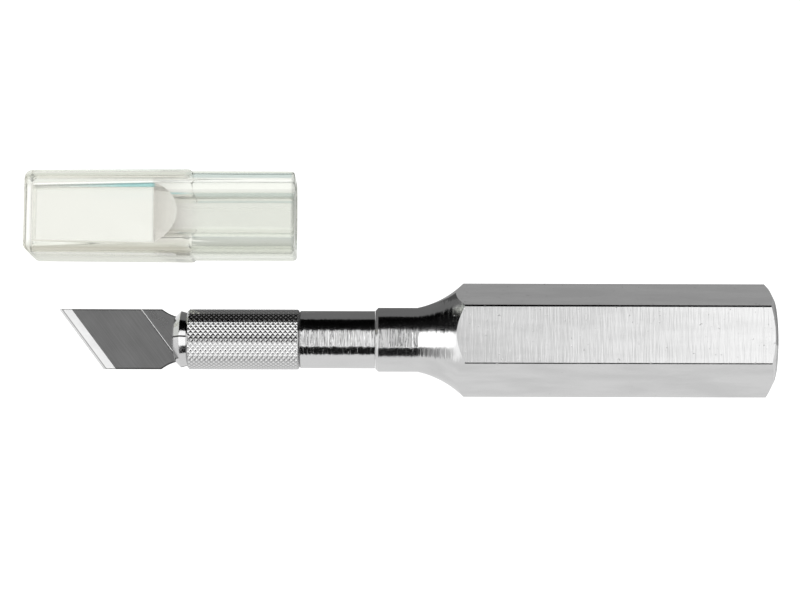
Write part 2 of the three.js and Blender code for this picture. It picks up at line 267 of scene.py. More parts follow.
# %% Tool marks
def tool_marks(material, place, width_mm, length_mm):
    """The height of cross streaks: fine ones, and others four times as large."""
    height = None
    for share, wider in ((1.0, 1), (0.8, 4)):
        wide, long = per_mm(width_mm * wider), per_mm(length_mm * wider)
        stretched = add(material, "Mapping", {"Vector": (place, "Object"), "Scale": (wide, long, long)})
        streaks = add(material, "TexNoise", {"Vector": (stretched, "Vector"), "Scale": 1.0, "Detail": 2.0,
                                             "Roughness": 0.5})
        layer = add(material, "Math", {0: (streaks, "Fac"), 1: share * math.sqrt(wider)},
                    operation="MULTIPLY")
        height = layer if height is None else add(material, "Math", {0: (height, "Value"),
                                                                     1: (layer, "Value")})
    return height


# %% [markdown]
# The handle's flats have two marks more: small pits, and the comb of lines that a cutter leaves on each side
# of its path. In front of the flats the same bar is turned, with rings deeper than the streaks and no pits.

# %% Marks on the handle
TURNED_END = -32.6
TURNED_FADE = 1.4
TURNED_GAIN = 4.0
PIT_SPACING = 0.55
COMB_WIDTH = 0.24
COMB_LENGTH = 9
COMB_DEPTH = 0.014
COMB_STARTS = 1.2
COMB_FULL = 2.6


def handle_marks(material, place, height, normal, pit_depth_mm):
    """Adds pits and milling lines to a relief, and deepens its rings on the turned part."""
    apart = add(material, "SeparateXYZ", {"Vector": (place, "Object")})
    gain = add(material, "MapRange", {"Value": (apart, "X"), "From Min": TURNED_END * MM,
                                      "From Max": (TURNED_END + TURNED_FADE) * MM,
                                      "To Min": TURNED_GAIN, "To Max": 1.0})
    deeper = add(material, "Math", {0: (height, "Value"), 1: (gain, "Result")}, operation="MULTIPLY")
    material.node_tree.links.new(deeper.outputs["Value"], normal.inputs["Height"])
    specks = add(material, "TexNoise", {"Vector": (place, "Object"), "Scale": per_mm(PIT_SPACING),
                                        "Detail": 1.0})
    surface = add(material, "MapRange", {"Value": (specks, "Fac"), "From Min": 0.72, "From Max": 0.8,
                                         "To Min": 1.0, "To Max": 0.0})
    turned = add(material, "Math", {0: (gain, "Result"), 1: 1.0}, operation="SUBTRACT", use_clamp=True)
    surface = add(material, "Math", {0: (surface, "Result"), 1: (turned, "Value")}, operation="MAXIMUM")
    normal = add(material, "Bump", {"Height": (surface, "Value"), "Normal": (normal, "Normal"),
                                    "Strength": 1.0, "Distance": pit_depth_mm * MM})
    wide, long = per_mm(COMB_WIDTH), per_mm(COMB_LENGTH)
    comb = add(material, "Mapping", {"Vector": (place, "Object"), "Scale": (wide, long, long)})
    teeth = add(material, "TexNoise", {"Vector": (comb, "Vector"), "Scale": 1.0, "Detail": 1.0})
    off = add(material, "Math", {0: (apart, "Y")}, operation="ABSOLUTE")
    passes = add(material, "MapRange", {"Value": (off, "Value"), "From Min": COMB_STARTS * MM,
                                        "From Max": COMB_FULL * MM})
    lines = add(material, "Math", {0: (teeth, "Fac"), 1: (passes, "Result")}, operation="MULTIPLY")
    return add(material, "Bump", {"Height": (lines, "Value"), "Normal": (normal, "Normal"),
                                  "Strength": 1.0, "Distance": COMB_DEPTH * MM})


# %% Painted shade in the grooves
def groove_painted_shade(material, place, tone, floor_radius, tip_radius, dark):
    """Paints shade into a tone towards the floors of grooves, by the distance from the knife's axis."""
    apart = add(material, "SeparateXYZ", {"Vector": (place, "Object")})
    up = add(material, "Math", {0: (apart, "Z"), 1: AXIS_Z}, operation="SUBTRACT")
    radial = add(material, "CombineXYZ", {"Y": (apart, "Y"), "Z": (up, "Value")})
    radius = add(material, "VectorMath", {0: (radial, "Vector")}, operation="LENGTH")
    depth = add(material, "MapRange", {"Value": (radius, "Value"), "From Min": floor_radius * MM,
                                       "From Max": tip_radius * MM})
    return add(material, "Mix", {"Factor": (depth, "Result"), 6: linear(dark), 7: (tone, 2)},
               data_type="RGBA")


# %% [markdown]
# The metal itself is the same everywhere. Its tone and its roughness vary a little, in clouds that are drawn
# out along the bar, as handling and polishing leave them.

# %% Aluminium
CLOUD_LENGTH = 12
CLOUD_WIDTH = 3


def aluminium(name, colour, dull, roughness, ring_mm, ring_depth_mm, streak_mm, pit_depth_mm=0.0,
              grooves=None):
    """Aluminium with cross streaks: ring_mm is their width and streak_mm their length across the bar."""
    material, output = new_material(name)
    place = add(material, "TexCoord")
    height = tool_marks(material, place, ring_mm, streak_mm)
    normal = add(material, "Bump", {"Height": (height, "Value"), "Strength": 1.0,
                                    "Distance": ring_depth_mm * MM})
    drawn = add(material, "Mapping", {"Vector": (place, "Object"), "Scale": (
        per_mm(CLOUD_LENGTH), per_mm(CLOUD_WIDTH), per_mm(CLOUD_WIDTH))})
    clouds = add(material, "TexNoise", {"Vector": (drawn, "Vector"), "Scale": 1.0, "Detail": 5.0})
    wear = add(material, "MapRange", {"Value": (clouds, "Fac"), "From Min": 0.3, "From Max": 0.7,
                                      "To Min": roughness * 0.8, "To Max": roughness * 1.3})
    haze = add(material, "MapRange", {"Value": (clouds, "Fac"), "From Min": 0.35, "From Max": 0.6})
    tone = add(material, "Mix", {"Factor": (haze, "Result"), 6: linear(dull), 7: linear(colour)},
               data_type="RGBA")
    if pit_depth_mm:
        normal = handle_marks(material, place, height, normal, pit_depth_mm)
    # grooves: the radii and colour of the painted shade in a knurl's grooves
    if grooves:
        tone = groove_painted_shade(material, place, tone, *grooves)
    shader = add(material, "BsdfPrincipled", {"Base Color": (tone, 2), "Metallic": 1.0,
                                              "Roughness": (wear, "Result"), "Normal": (normal, "Normal")})
    return finish_material(material, shader, output)


bar_aluminium = aluminium("turned and milled aluminium", "#e8e8e8", "#dedede", roughness=0.16, ring_mm=0.42,
                          ring_depth_mm=0.015, streak_mm=3.0, pit_depth_mm=0.03)
neck_aluminium = aluminium("fine turned aluminium", "#e8e8e8", "#e2e2e2", roughness=0.13, ring_mm=0.35,
                           ring_depth_mm=0.09, streak_mm=3.4)
nose_aluminium = aluminium("polished aluminium", "#e8e8e8", "#e0e0e0", roughness=0.12, ring_mm=0.25,
                           ring_depth_mm=0.004, streak_mm=12.0)
print("aluminium finishes:", [m.name for m in (bar_aluminium, neck_aluminium, nose_aluminium)])

# %% [markdown]
# ## Handle
#
# The real handle starts as extruded hexagonal bar, whose corners are slightly rounded. The lathe then cuts
# the shoulder, the concave flare and the chamfer at the butt, which leave the scalloped ends of the six
# flats. The model is made in that order: a bevelled six-sided prism is cut by a turned solid, and the
# Boolean finds the scallops by itself.

# %% Hexagonal bar
ACROSS_FLATS = (HANDLE_HIGH.z - HANDLE_LOW.z) / MM
HEX_RADIUS = ACROSS_FLATS / math.sqrt(3)
CORNER_RADIUS = 0.7
FRONT = HANDLE_LOW.x / MM
BUTT = HANDLE_HIGH.x / MM
SPARE = 2
BEYOND_CORNERS = HEX_RADIUS + 0.3
print("hexagon:", round(ACROSS_FLATS, 2), "mm across flats,", round(2 * HEX_RADIUS, 2), "across corners")


def hexagonal_bar():
    """The bar as extruded, with some to spare at both ends. Its corners point sideways."""
    bm = rod(FRONT - SPARE, BUTT + SPARE, HEX_RADIUS, 6)
    long_edges = [e for e in bm.edges if abs(e.verts[0].co.x - e.verts[1].co.x) > SPARE * MM]
    bmesh.ops.bevel(bm, geom=long_edges, offset=CORNER_RADIUS * math.tan(math.pi / 6) * MM,
                    offset_type="OFFSET", segments=8, profile=0.5, affect="EDGES", material=-1)
    bmesh.ops.translate(bm, verts=bm.verts, vec=(0, 0, AXIS_Z))
    return bm


# %% Turned outline
SHOULDER_RADIUS = 6.1
SHOULDER_CHAMFER = 0.55
FLARE_START = -37.8
FLARE_RADIUS = 17.8
FLARE_FIRST_SLOPE = math.radians(12)
BUTT_DISC_RADIUS = 8.2
BUTT_CHAMFER_RUN = 0.52
BORE_RADIUS = 4.1
BORE_END = -32.0
DRILL_POINT = 2.2


def flare():
    """The concave arc from the shoulder out past the hexagon's corners."""
    centre_x = FLARE_START - FLARE_RADIUS * math.sin(FLARE_FIRST_SLOPE)
    centre_r = SHOULDER_RADIUS + FLARE_RADIUS * math.cos(FLARE_FIRST_SLOPE)
    last_slope = math.acos((centre_r - BEYOND_CORNERS) / FLARE_RADIUS)
    steps = 40
    slopes = [FLARE_FIRST_SLOPE + (last_slope - FLARE_FIRST_SLOPE) * i / steps for i in range(steps + 1)]
    return [(centre_x + FLARE_RADIUS * math.sin(a), centre_r - FLARE_RADIUS * math.cos(a)) for a in slopes]


handle_outline = [
    (BORE_END + DRILL_POINT, 0),
    (BORE_END, BORE_RADIUS),
    (FRONT, BORE_RADIUS),
    (FRONT, SHOULDER_RADIUS - SHOULDER_CHAMFER),
    (FRONT + SHOULDER_CHAMFER, SHOULDER_RADIUS),
    *flare(),
    (BUTT - BUTT_CHAMFER_RUN * (BEYOND_CORNERS - BUTT_DISC_RADIUS), BEYOND_CORNERS),
    (BUTT, BUTT_DISC_RADIUS),
    (BUTT, 0),
]
handle = cut(solid("handle_bar", hexagonal_bar()), solid("lathe_cut", spun(handle_outline, 180)), "INTERSECT")
HEX_FLATS = [Vector((0, math.sin(i * math.pi / 3), math.cos(i * math.pi / 3))) for i in range(3)]
smooth(handle, flats=HEX_FLATS + [Vector((1, 0, 0))])
fit(handle, bar_aluminium, "handle", ["handle"])

# %% [markdown]
# ## Neck
#
# A smooth round sleeve is screwed into the handle and carries the chuck. It is one turned profile with a
# small chamfer at its front and a threaded spigot that the handle hides. The thread is drawn as rings.

# %% Neck
NECK_LOW, NECK_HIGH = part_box("chuck_neck")
NECK_RADIUS = (NECK_HIGH.z - NECK_LOW.z) / 2 / MM
NECK_FRONT = NECK_LOW.x / MM
SPIGOT_END = NECK_HIGH.x / MM
JOINT_GAP = 0.1
NECK_BACK = FRONT - JOINT_GAP
NECK_CHAMFER = 0.25
SPIGOT_RADIUS = 4.0
TAIL_BORE = 2.6
THREAD_PITCH = 0.8
THREAD_DEPTH = 0.35
THREAD_RELIEF = 1.2


def thread(first, last, radius):
    """Ridges of a screw thread between two stations."""
    turns = int((last - first) / THREAD_PITCH)
    pitch = (last - first) / turns
    ridge = []
    for i in range(turns):
        ridge += [(first + i * pitch, radius - THREAD_DEPTH), (first + (i + 0.5) * pitch, radius)]
    return ridge


neck_outline = [
    (NECK_FRONT, TAIL_BORE),
    (NECK_FRONT, NECK_RADIUS - NECK_CHAMFER),
    (NECK_FRONT + NECK_CHAMFER, NECK_RADIUS),
    (NECK_BACK, NECK_RADIUS),
    (NECK_BACK, SPIGOT_RADIUS - THREAD_DEPTH),
    *thread(NECK_BACK + THREAD_RELIEF, SPIGOT_END, SPIGOT_RADIUS),
    (SPIGOT_END, SPIGOT_RADIUS - THREAD_DEPTH),
    (SPIGOT_END, TAIL_BORE),
]
neck = smooth(solid("chuck_neck_sleeve", spun(neck_outline, 144)))
fit(neck, neck_aluminium, "handle", ["chuck_neck"])

# %% [markdown]
# ## Knurled collar
#
# A knurling tool presses two crossing sets of helical grooves into the collar, and what stands between
# them is a field of small diamonds. To make that field, a grid of squares is spun round the axis and each
# square is poked. Dissolving the old square edges leaves one diamond across each of them. Each diamond is
# then inset and raised, which gives it four sloping flanks and a small flat tip. The lathe chamfers both
# ends after knurling, so the knurled rod is cut by a turned outline last of all.

# %% Diamond knurl
COLLAR_LOW, COLLAR_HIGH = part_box("knurled_collar")
COLLAR_FRONT = COLLAR_LOW.x / MM
COLLAR_BACK = COLLAR_HIGH.x / MM
COLLAR_RADIUS = (COLLAR_HIGH.z - COLLAR_LOW.z) / 2 / MM
KNURL_PITCH = 0.94
KNURLS_ROUND = 32
KNURL_FLANK = 0.23
KNURL_HEIGHT = 0.13
TURNED_OFF = 0.01
VALLEY_RADIUS = COLLAR_RADIUS - KNURL_HEIGHT - TURNED_OFF


def knurled_rod():
    """A rod covered in raised diamonds, a little longer than the collar."""
    rows = math.ceil((COLLAR_BACK - COLLAR_FRONT) / KNURL_PITCH) + 2
    start = COLLAR_FRONT - KNURL_PITCH
    bm = bmesh.new()
    points = [bm.verts.new(((start + i * KNURL_PITCH) * MM, 0, VALLEY_RADIUS * MM)) for i in range(rows + 1)]
    lines = [bm.edges.new(pair) for pair in zip(points, points[1:])]
    spin_round(bm, points + lines, KNURLS_ROUND)
    squares = list(bm.edges)
    bmesh.ops.poke(bm, faces=bm.faces)
    for v in bm.verts:
        radius = math.hypot(v.co.y, v.co.z)
        v.co.y *= VALLEY_RADIUS * MM / radius
        v.co.z *= VALLEY_RADIUS * MM / radius
    bmesh.ops.recalc_face_normals(bm, faces=bm.faces)
    inner = [e for e in squares if e.is_valid and not e.is_boundary]
    bmesh.ops.dissolve_edges(bm, edges=inner, use_verts=False)
    bm.faces.ensure_lookup_table()
    bm.normal_update()
    if bm.faces[0].normal.dot(bm.faces[0].calc_center_median()) < 0:
        bmesh.ops.reverse_faces(bm, faces=bm.faces)
    diamonds = [f for f in bm.faces if len(f.verts) == 4]
    bmesh.ops.inset_individual(bm, faces=diamonds, thickness=KNURL_FLANK * MM, depth=KNURL_HEIGHT * MM,
                               use_even_offset=True)
    ends = [e for e in bm.edges if e.is_boundary]
    bmesh.ops.holes_fill(bm, edges=ends, sides=0)
    bmesh.ops.recalc_face_normals(bm, faces=bm.faces)
    bmesh.ops.translate(bm, verts=bm.verts, vec=(0, 0, AXIS_Z))
    print(len(diamonds), "diamonds")
    return bm


# %% [markdown]
# ### Knurled aluminium
#
# The tips are burnished by the knurling wheel and by fingers. The grooves are painted darker, as painted
# shade, so the tone follows the radius, from grey at the grooves' floors to nearly white just below the tips.

# %% Knurled aluminium
GROOVE_MARGIN = 0.03
# The grooves get painted shade: grey at their floors, fading out just below the tips.
knurl_aluminium = aluminium("knurled aluminium", "#f4f4f4", "#ececec", roughness=0.14, ring_mm=0.20,
                            ring_depth_mm=0.002, streak_mm=2.0,
                            grooves=(VALLEY_RADIUS - GROOVE_MARGIN, COLLAR_RADIUS - GROOVE_MARGIN, "#b4b4b4"))
print("grooves are", KNURL_HEIGHT, "mm deep")

# %% Turned ends and bore of the collar
JAW_BORE_RADIUS = 4.75
SHANK_BORE_RADIUS = 3.1
COLLAR_MOUTH = 5.06
COLLAR_CONE = math.tan(math.radians(15))
COLLAR_WEB = COLLAR_BACK - 5
FRONT_FACE_RADIUS = 5.3
BACK_FACE_RADIUS = 5.5
collar_outline = [
    (COLLAR_FRONT, COLLAR_MOUTH),
    (COLLAR_FRONT, FRONT_FACE_RADIUS),
    (COLLAR_FRONT + 0.4, COLLAR_RADIUS),
    (COLLAR_BACK - 0.3, COLLAR_RADIUS),
    (COLLAR_BACK, BACK_FACE_RADIUS),
    (COLLAR_BACK, SHANK_BORE_RADIUS),
    (COLLAR_WEB, SHANK_BORE_RADIUS),
    (COLLAR_WEB, JAW_BORE_RADIUS),
    (COLLAR_FRONT + (COLLAR_MOUTH - JAW_BORE_RADIUS) / COLLAR_CONE, JAW_BORE_RADIUS),
]
collar = cut(solid("knurled_collar_sleeve", knurled_rod()), solid("lathe_cut", spun(collar_outline, 160)),
             "INTERSECT")
smooth(collar, angle=20)
fit(collar, knurl_aluminium, "collar", ["knurled_collar"])

# %% [markdown]
# ## Collet
#
# The collet's head is turned with a domed face, a 45 degree edge and a back taper, and then slit twice: a
# wide slot for the blade and a hairline slot across it. What is left is four springy jaws. Each jaw is
# its own piece here, so the same head is spun four times, and two bisecting planes with the outside
# cleared leave one quarter of it. The cut faces are filled to close the solid.

# %% Collet jaws
JAW_LOW, JAW_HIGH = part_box("collet_jaw_upper_left")
NOSE_TIP = JAW_LOW.x / MM
JAW_ROOT = JAW_HIGH.x / MM
NOSE_RADIUS = 5.35
NOSE_FACE_RADIUS = 4.2
NOSE_DOME = 0.65
JAW_RADIUS = 4.45
RELIEF_RADIUS = 1.6
FACE_THICK = 1.6
CROSS_SLOT = 0.3
BLADE_SLOT = 0.7


def head_outline():
    """The head before it is slit: domed face, rounded edge, back taper, straight body and inner relief."""
    dome_radius = (NOSE_FACE_RADIUS ** 2 + NOSE_DOME ** 2) / (2 * NOSE_DOME)
    radii = [NOSE_FACE_RADIUS * i / 12 for i in range(13)]
    dome = [(NOSE_TIP + dome_radius - math.sqrt(dome_radius ** 2 - r ** 2), r) for r in radii]
    edge = NOSE_TIP + NOSE_DOME + NOSE_RADIUS - NOSE_FACE_RADIUS
    return [
        *dome,
        (edge - 0.12, NOSE_RADIUS - 0.12),
        (edge - 0.04, NOSE_RADIUS - 0.03),
        (edge + 0.06, NOSE_RADIUS),
        (edge + (NOSE_RADIUS - JAW_RADIUS) / COLLAR_CONE, JAW_RADIUS),
        (JAW_ROOT, JAW_RADIUS),
        (JAW_ROOT, RELIEF_RADIUS),
        (NOSE_TIP + FACE_THICK + RELIEF_RADIUS, RELIEF_RADIUS),
        (NOSE_TIP + FACE_THICK, 0),
    ]


def quarter(bm, side, level):
    """Keeps the quarter of a solid on one side of both slots, and closes the two cuts."""
    for direction, gap in ((Vector((0, side, 0)), CROSS_SLOT), (Vector((0, 0, level)), BLADE_SLOT)):
        point = Vector((0, 0, AXIS_Z)) + direction * gap / 2 * MM
        done = bmesh.ops.bisect_plane(bm, geom=bm.verts[:] + bm.edges[:] + bm.faces[:], dist=1e-8,
                                      plane_co=point, plane_no=direction, clear_inner=True)
        rim = [g for g in done["geom_cut"] if isinstance(g, bmesh.types.BMEdge)]
        bmesh.ops.triangle_fill(bm, use_beauty=True, use_dissolve=True, edges=rim, normal=-direction)
    bmesh.ops.recalc_face_normals(bm, faces=bm.faces)
    return bm


for side, side_name in ((1, "left"), (-1, "right")):
    for level, level_name in ((1, "upper"), (-1, "lower")):
        place = f"{level_name}_{side_name}"
        jaw = solid(f"collet_jaw_{place}_quarter", quarter(spun(head_outline(), 128), side, level))
        smooth(jaw, angle=25)
        fit(jaw, nose_aluminium, f"jaw_{place}", [f"collet_jaw_{place}"])

# The shank is hidden in the neck and the collar, so the CAD node only gets its metal.
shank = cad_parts["collet_shank"]
shank.data.materials.clear()
shank.data.materials.append(nose_aluminium)

# %% [markdown]
# ## Blade
#
# The blade is stamped from strip steel, ground on both sides to a slanted edge, and scored across so that
# a worn point can be snapped off. The outline is one face, extruded to the strip's thickness. Bisecting
# planes parallel to the edge then put in the lines that the grinder leaves, and the vertices in front of
# each line are thinned down to the edge.

# %% Blade dimensions
BLADE_LOW, BLADE_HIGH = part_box("blade")
BLADE_TIP = BLADE_LOW.x / MM
BLADE_HALF = (BLADE_HIGH.y - BLADE_LOW.y) / 2 / MM
BLADE_THICK = (BLADE_HIGH.z - BLADE_LOW.z) / MM
TANG_END = BLADE_HIGH.x / MM
HEEL = -97.5
SHOULDER_START = -86.5
TANG_FRONT = -83.7
TANG_HALF = 4.35
SHOULDER_HOLLOW = 0.18
TANG_CORNER = 1.5
RIM_BEVEL = 0.22
BEVEL_WIDTH = 1.9
HONED_WIDTH = 0.45
EDGE_HALF = 0.02
HONED_HALF = 0.09
SCORE_AT = 12.5
SCORE_WIDTH = 0.3
SCORE_DEPTH = 0.1

edge_run = Vector((HEEL - BLADE_TIP, -2 * BLADE_HALF, 0)).normalized()
edge_inward = Vector((-edge_run.y, edge_run.x, 0))
print("cutting edge is", round(math.degrees(math.atan2(edge_run.y, edge_run.x))), "degrees from the axis")


# %% Blade outline
def from_edge(co):
    """Distance in millimetres from the cutting edge's line, square to it."""
    return (Vector((co.x, co.y, 0)) / MM - Vector((BLADE_TIP, BLADE_HALF, 0))).dot(edge_inward)


def blade_outline():
    """The strip narrows to its tang over slightly hollow shoulders, and the tang's corners are round."""
    shoulder, corner = [], []
    for i in range(6):
        t = i / 5
        x = SHOULDER_START + (TANG_FRONT - SHOULDER_START) * t
        y = BLADE_HALF + (TANG_HALF - BLADE_HALF) * t - SHOULDER_HOLLOW * math.sin(math.pi * t)
        shoulder.append((x, y))
        a = math.pi / 2 * t
        corner.append((TANG_END - TANG_CORNER * (1 - math.sin(a)),
                       TANG_HALF - TANG_CORNER * (1 - math.cos(a))))
    far_side = [(BLADE_TIP, BLADE_HALF)] + shoulder + corner
    near_side = [(x, -y) for x, y in corner[::-1] + shoulder[::-1]] + [(HEEL, -BLADE_HALF)]
    return far_side + near_side


# %% Grinding
def line_at(bm, distance):
    """Adds the line that runs parallel to the cutting edge at that distance."""
    point = Vector((BLADE_TIP, BLADE_HALF, 0)) * MM + edge_inward * distance * MM
    bmesh.ops.bisect_plane(bm, geom=bm.verts[:] + bm.edges[:] + bm.faces[:], dist=1e-9,
                           plane_co=point, plane_no=edge_inward)


def flat_strip():
    """The strip, with its two long edges bevelled and each face marked as rim or flat."""
    bm = extruded([(x, y, -BLADE_THICK / 2) for x, y in blade_outline()], (0, 0, BLADE_THICK))
    long_edges = [e for e in bm.edges if abs(e.verts[0].co.z - e.verts[1].co.z) < 1e-9
                  and e.calc_face_angle(0) > 1
                  and abs((e.verts[1].co - e.verts[0].co).normalized().y) < 0.75
                  and max(v.co.x for v in e.verts) < (TANG_FRONT + 0.1) * MM
                  and abs(e.verts[0].co.y) > TANG_HALF * MM - 1e-6]
    bmesh.ops.bevel(bm, geom=long_edges, offset=RIM_BEVEL * MM, offset_type="OFFSET", segments=3,
                    profile=0.5, affect="EDGES", material=-1)
    rim_layer = bm.faces.layers.float.new("rim")
    for face in bm.faces:
        face[rim_layer] = float(abs(face.normal.z) < 0.98)
    return bm


def half_thickness(d):
    """Half of the blade's thickness at a distance from the cutting edge."""
    half = BLADE_THICK / 2
    if abs(d - SCORE_AT) < 1e-3:
        return half - SCORE_DEPTH
    if d < HONED_WIDTH:
        return EDGE_HALF + (HONED_HALF - EDGE_HALF) * max(d, 0) / HONED_WIDTH
    if d < BEVEL_WIDTH + 1e-4:
        return HONED_HALF + (half - HONED_HALF) * (d - HONED_WIDTH) / (BEVEL_WIDTH - HONED_WIDTH)
    return half


def ground_blade():
    """The strip with its lines put in, thinned to the edge and scored."""
    bm = flat_strip()
    for distance in (HONED_WIDTH, BEVEL_WIDTH, SCORE_AT - SCORE_WIDTH / 2, SCORE_AT,
                     SCORE_AT + SCORE_WIDTH / 2):
        line_at(bm, distance)
    for v in bm.verts:
        limit = half_thickness(from_edge(v.co)) * MM
        v.co.z = max(-limit, min(limit, v.co.z))
    bmesh.ops.translate(bm, verts=bm.verts, vec=(0, 0, AXIS_Z))
    return bm


# %% [markdown]
# ### Ground carbon steel
#
# Blade steel is darker and greyer than aluminium. The strip is surface ground, which leaves faint
# scratches, here nearly parallel to the cutting edge. The freshly ground bevel and the honed edge are painted
# much lighter than the strip, partly for their cleaner grinding and partly as a painted reflection of the
# light their tilted faces catch, with a grey line of painted shade where the two meet. The score is painted
# white, a painted highlight, and the stamped rim is painted dark, painted shade on its rounded faces. The
# bevel, the honed edge and the score are found from their distance to the edge, in Object coordinates, and
# the rim from an attribute on its faces.

# %% Blade steel
def blade_steel():
    material, output = new_material("surface ground carbon steel")
    place = add(material, "TexCoord")
    angle = math.atan2(edge_run.y, edge_run.x)
    along = add(material, "Mapping", {"Vector": (place, "Object"), "Rotation": (0, 0, -angle)})
    stretched = add(material, "Mapping", {"Vector": (along, "Vector"),
                                          "Scale": (per_mm(9), per_mm(0.22), per_mm(1))})
    scratches = add(material, "TexNoise", {"Vector": (stretched, "Vector"), "Scale": 1.0, "Detail": 3.0,
                                           "Roughness": 0.65})
    clouds = add(material, "TexNoise", {"Vector": (place, "Object"), "Scale": per_mm(5), "Detail": 3.0})
    apart = add(material, "SeparateXYZ", {"Vector": (along, "Vector")})
    tip = Matrix.Rotation(-angle, 3, "Z") @ Vector((BLADE_TIP * MM, BLADE_HALF * MM, 0))
    depth = add(material, "Math", {0: (apart, "Y"), 1: tip.y}, operation="SUBTRACT")
    bevel = add(material, "MapRange", {"Value": (depth, "Value"), "From Min": (BEVEL_WIDTH + 0.02) * MM,
                                       "From Max": (BEVEL_WIDTH - 0.02) * MM})
    strip = add(material, "MapRange", {"Value": (scratches, "Fac"), "From Min": 0.3, "From Max": 0.75})
    rim = add(material, "Attribute", attribute_name="rim")
    inwards = (depth, "Value")
    colour = layered(material, linear("#838383"), [
        ((strip, "Result"), "#909090"),
        # The rim is painted dark: painted shade on its rounded, tilted faces.
        ((rim, "Fac"), "#4a4a4a"),
        # Bevel and honed edge: partly cleaner grinding, partly painted reflection; the grey line is painted
        # shade.
        ((bevel, "Result"), "#dadada"),
        (between(material, inwards, -1.0, HONED_WIDTH, 0.05), "#c8c8c8"),
        (between(material, inwards, HONED_WIDTH - 0.07, HONED_WIDTH + 0.07, 0.05), "#969696"),
        # The score is painted white: a painted highlight along its groove.
        (between(material, inwards, SCORE_AT - 0.06, SCORE_AT + 0.06, 0.06), "#ffffff"),
    ])
    worn = add(material, "MapRange", {"Value": (clouds, "Fac"), "From Min": 0.3, "From Max": 0.7,
                                      "To Min": 0.26, "To Max": 0.36})
    bump = add(material, "Bump", {"Height": (scratches, "Fac"), "Strength": 0.6, "Distance": 0.004 * MM})
    shader = add(material, "BsdfPrincipled", {"Base Color": colour, "Metallic": 1.0,
                                              "Roughness": (worn, "Result"), "Normal": (bump, "Normal")})
    return finish_material(material, shader, output)


blade = smooth(solid("blade_strip", ground_blade()), angle=3)
fit(blade, blade_steel(), "blade", ["blade"])

# %% [markdown]
# ## Safety cap
#
# The cap is moulded in clear polystyrene with thick walls. Outside it is a rounded block whose front is
# wider than its sleeve. Inside, a round bore takes the collar and pinches down over two ramps to a flat
# chamber for the blade. Two low ribs on the bore's floor press on the collar. Each form is a small solid of
# its own, and Booleans join and cut them in the order in which the mould's core and cavity would.

# %% Cap dimensions
CAP_LOW, CAP_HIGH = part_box("safety_cap")
CAP_END = CAP_LOW.x / MM
CAP_MOUTH = CAP_HIGH.x / MM
CAP_AXIS_Y = (CAP_LOW.y + CAP_HIGH.y) / 2 / MM
CAP_DEPTH = (CAP_HIGH.z - CAP_LOW.z) / MM
CAP_AXIS_Z = CAP_DEPTH / 2
CAP_LIP = -80.7
CAP_WIDTH = (CAP_HIGH.y - CAP_LOW.y) / MM
CAP_WIDTH_CLOSED = 15.9
SLEEVE_WIDTH = 15.7
CAP_BORE = 6.5
CHAMBER_END = -111.3
CHAMBER_MOUTH = -88.2
CHAMBER_HALF = 3.0
CHAMBER_TAPER = 0.91
RAMP_RUN = 4.65
RIB_OFFSET = 3.25
RIB_WIDTH = 0.7
RIB_TIP = 5.85
half_deep = CAP_DEPTH / 2
print("cap:", round(CAP_MOUTH - CAP_END, 1), "mm long,", round(CAP_DEPTH, 1), "mm deep")


# %% Shapes about the cap's axis
def block(low, high):
    """A box between two corners in millimetres, about the cap's axis."""
    bm = bmesh.new()
    bmesh.ops.create_cube(bm, size=1)
    size = [(b - a) * MM for a, b in zip(low, high)]
    centre = [(a + b) / 2 * MM for a, b in zip(low, high)]
    bmesh.ops.scale(bm, verts=bm.verts, vec=size)
    bmesh.ops.translate(bm, verts=bm.verts, vec=centre)
    return bm


def rounded_block(low, high, radius, end_radius):
    """A box with rounded edges: end_radius round its +X end, and radius on all the others."""
    bm = block(low, high)
    for offset, segments, at_end in ((radius, 12, False), (end_radius, 8, True)):
        edges = [e for e in bm.edges
                 if (min(v.co.x for v in e.verts) > (high[0] - 0.01) * MM) == at_end]
        bmesh.ops.bevel(bm, geom=edges, offset=offset * MM, offset_type="OFFSET", segments=segments,
                        profile=0.5, affect="EDGES", material=-1)
    bmesh.ops.recalc_face_normals(bm, faces=bm.faces)
    return bm


def taper(bm, first, last, at_first, at_last):
    """Scales Y by a share that runs from at_first to at_last between two stations."""
    for v in bm.verts:
        share = min(max((v.co.x / MM - first) / (last - first), 0), 1)
        v.co.y *= at_first + (at_last - at_first) * share
    return bm


def on_cap(bm):
    """Moves a shape made about the origin's X axis to the cap's axis."""
    bmesh.ops.translate(bm, verts=bm.verts, vec=(0, CAP_AXIS_Y * MM, CAP_AXIS_Z * MM))
    return bm


def prism(outline, half_width):
    """An outline of (station, height) points, extruded sideways."""
    return extruded([(x, -half_width, z) for x, z in outline], (0, 2 * half_width, 0))


# %% Outside of the cap
front_block = rounded_block((CAP_END, -CAP_WIDTH / 2, -half_deep), (CAP_LIP, CAP_WIDTH / 2, half_deep),
                            radius=1.7, end_radius=0.9)
taper(front_block, CAP_END, CAP_LIP, CAP_WIDTH_CLOSED / CAP_WIDTH, 1)
cap = solid("safety_cap_moulding", on_cap(front_block))
sleeve = rounded_block((CAP_LIP - 4.5, -SLEEVE_WIDTH / 2, -half_deep),
                       (CAP_MOUTH, SLEEVE_WIDTH / 2, half_deep), radius=2.4, end_radius=0.7)
cut(cap, solid("sleeve", on_cap(sleeve)), "UNION")
print("outside:", len(cap.data.polygons), "faces")

# %% [markdown]
# The bore and its ramps are one core, where a rod meets a funnel. The chamber's core is a slice of a rod, a
# little narrower at its closed end, so that the moulding leaves its tool.

